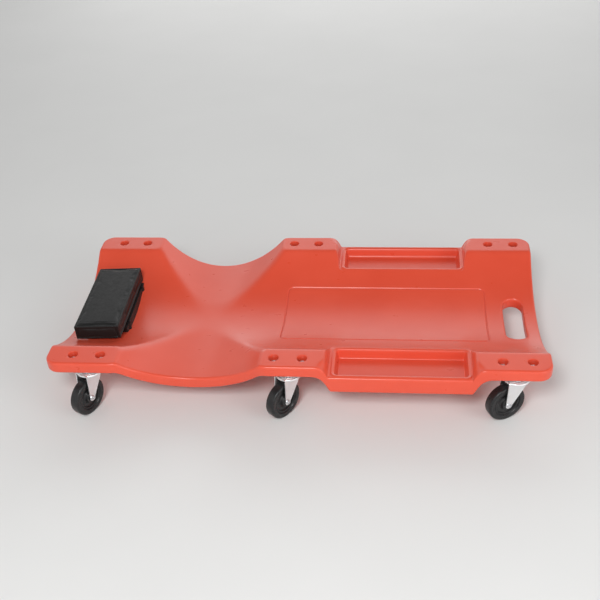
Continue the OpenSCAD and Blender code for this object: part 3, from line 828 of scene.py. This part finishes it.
def leg(side):
    """One leg of the fork, as sheet steel with slightly flared edges."""
    heights, backs, fronts = zip(*reversed(LEG_EDGES))
    count = len(LEG_SHARES)
    skins = [[], []]
    for y, z, ny, nz in leg_rows():
        if z >= AXLE_Z:
            back = np.interp(z, heights, backs)
            front = np.interp(z, heights, fronts)
        else:
            reach = math.sqrt(LEG_TIP_R ** 2 - (AXLE_Z - z) ** 2)
            back, front = -TRAIL - reach, -TRAIL + reach
        for share in LEG_SHARES:
            x = back + (front - back) * share
            flare = LEG_FLARE * abs(2 * share - 1) ** 6 * float(smooth_step(z, 34, 44)) * ny
            edge = LEG_ROUNDING * (share in (0, 1))
            for skin, depth in ((0, -edge), (1, -STEEL_T + edge)):
                shift = depth + flare
                skins[skin].append((x, side * (y + ny * shift), z + nz * shift))
    rows = len(skins[0]) // count
    points = skins[0] + skins[1]
    back_skin = len(skins[0])
    faces = []
    for i in range(rows - 1):
        for j in range(count - 1):
            a = i * count + j
            faces.append((a, a + 1, a + 1 + count, a + count))
            faces.append(tuple(v + back_skin for v in (a + count, a + 1 + count, a + 1, a)))
    last_row = (rows - 1) * count
    rim = list(range(count))
    rim += [i * count + count - 1 for i in range(1, rows)]
    rim += [last_row + j for j in range(count - 2, -1, -1)]
    rim += [i * count for i in range(rows - 2, 0, -1)]
    faces += [(a, a + back_skin, b + back_skin, b) for a, b in zip(rim, rim[1:] + rim[:1])]
    return new_object("leg", points, faces)


def joined(things, name):
    """Fuses closed objects into one mesh."""
    first = things[0]
    for other in things[1:]:
        union = first.modifiers.new("union", "BOOLEAN")
        union.operation = "UNION"
        union.solver = "EXACT"
        union.object = other
        apply_modifiers(first)
        bpy.data.objects.remove(other)
    mesh = first.data
    bpy.data.objects.remove(first)
    mesh.name = name
    for face in mesh.polygons:
        face.use_smooth = True
    return mesh


def smooth_by_angle(thing, degrees):
    """Smooth shading that keeps edges sharper than the angle."""
    work = bmesh.new()
    work.from_mesh(thing.data)
    for edge in work.edges:
        edge.smooth = len(edge.link_faces) == 2 and edge.calc_face_angle(0) < math.radians(degrees)
    work.to_mesh(thing.data)
    work.free()


def wheel_section():
    """Closed section of the wheel as (radius, width) corners with their roundings."""
    return filleted([*WHEEL_HALF, *((r, -w, rounding) for r, w, rounding in reversed(WHEEL_HALF))])


def caster_place(name):
    """Place and heading of a caster, from its king pin and its wheel."""
    pin_low, pin_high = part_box(name + "_kingpin")
    wheel_low, wheel_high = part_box(name + "_wheel")
    pin, axle = (pin_low + pin_high) / 2, (wheel_low + wheel_high) / 2
    heading = math.atan2(pin.y - axle.y, pin.x - axle.x)
    return Matrix.Translation((pin.x, pin.y, 0)) @ Matrix.Rotation(heading, 4, "Z")


def fork_form():
    """Mesh of a fork that stands at the origin and trails towards -X."""
    return joined([crown(), leg(-1), leg(1)], "fork")


def wheel_form():
    """Mesh of a wheel that stands under such a fork."""
    form = lathe("wheel", wheel_section(), 120)
    axle = Matrix.Translation((-TRAIL * MM, 0, AXLE_Z * MM))
    form.data.transform(axle @ Matrix.Rotation(math.radians(90), 4, "X"))
    mesh = form.data
    bpy.data.objects.remove(form)
    return mesh


def make_casters():
    """A fork and a wheel at each caster's place."""
    forms = (("fork", fork_form(), "pressed_zinc", "_swivel"),
             ("wheel", wheel_form(), "wheel_black", "_roller"))
    for name in sorted(n[:-len("_wheel")] for n in frame["nodes"] if n.endswith("_wheel")):
        place = caster_place(name)
        for part, mesh, slot, body in forms:
            own = mesh.copy()
            own.materials.clear()
            own.transform(place)
            thing = bpy.data.objects.new(name + "_" + part + "_form", own)
            bpy.context.scene.collection.objects.link(thing)
            smooth_by_angle(thing, CRISP_ANGLE)
            add_piece(thing, slot, name + body, name + "_" + part)


make_casters()


# ---------------------------------------------------------------- stage

# Brightness of the studio, and its greys from the horizon up
WORLD_STRENGTH = 0.8
WORLD_GREYS = ((0.50, 1.0), (0.85, 0.08))
# Soft lights: name, place, size and power
LIGHTS = (("front", (-0.2, -1.9, 2.0), 0.7, 35),
          ("side", (1.8, -1.4, 1.0), 1.2, 12),
          ("back", (0.0, 3.0, 1.2), 3.2, 30))
LIGHT_TARGET = Vector((0, 0, 0.05))
FLOOR_SIZE = 14


def make_world():
    """White studio round the horizon, with a darker ceiling."""
    scene = bpy.context.scene
    world = bpy.data.worlds.new("studio") if scene.world is None else scene.world
    scene.world = world
    world.use_nodes = True
    tree = world.node_tree
    place = tree.nodes.new("ShaderNodeTexCoord")
    split = tree.nodes.new("ShaderNodeSeparateXYZ")
    ramp = tree.nodes.new("ShaderNodeValToRGB")
    tree.links.new(place.outputs["Generated"], split.inputs["Vector"])
    tree.links.new(split.outputs["Z"], ramp.inputs["Fac"])
    for element, (position, grey) in zip(ramp.color_ramp.elements, WORLD_GREYS):
        element.position = position
        element.color = (grey, grey, grey, 1)
    tree.links.new(ramp.outputs["Color"], tree.nodes["Background"].inputs["Color"])
    tree.nodes["Background"].inputs["Strength"].default_value = WORLD_STRENGTH


def make_stage():
    """Floor, lights and world."""
    bpy.ops.mesh.primitive_plane_add(size=FLOOR_SIZE, location=(0, 0, 0))
    floor = bpy.context.object
    floor.name = "floor"
    floor.data.materials.append(floor_paint())
    make_world()
    for name, place, size, power in LIGHTS:
        lamp = bpy.data.lights.new(name, "AREA")
        lamp.size = size
        lamp.energy = power
        holder = bpy.data.objects.new(name, lamp)
        bpy.context.scene.collection.objects.link(holder)
        holder.location = place
        holder.rotation_euler = (LIGHT_TARGET - Vector(place)).to_track_quat("-Z", "Y").to_euler()
    bpy.context.scene.view_settings.view_transform = "Standard"


def make_camera():
    """Camera at the photo's place: yaw, pitch down and roll, from a point to the front and above."""
    yaw, pitch, roll = -0.132, 0.613, -0.066
    place = Vector((0.2113, -1.6368, 1.2828))
    forward = Vector((math.sin(yaw) * math.cos(pitch), math.cos(yaw) * math.cos(pitch), -math.sin(pitch)))
    right = Vector((math.cos(yaw), -math.sin(yaw), 0))
    up = right.cross(forward)
    right, up = (math.cos(roll) * right + math.sin(roll) * up,
                 math.cos(roll) * up - math.sin(roll) * right)
    data = bpy.data.cameras.new("camera")
    data.sensor_width = 36
    data.lens = 55.75
    camera = bpy.data.objects.new("camera", data)
    bpy.context.scene.collection.objects.link(camera)
    turn = Matrix((right, up, -forward)).transposed().to_4x4()
    camera.matrix_world = Matrix.Translation(place) @ turn
    bpy.context.scene.camera = camera


make_camera()
make_stage()
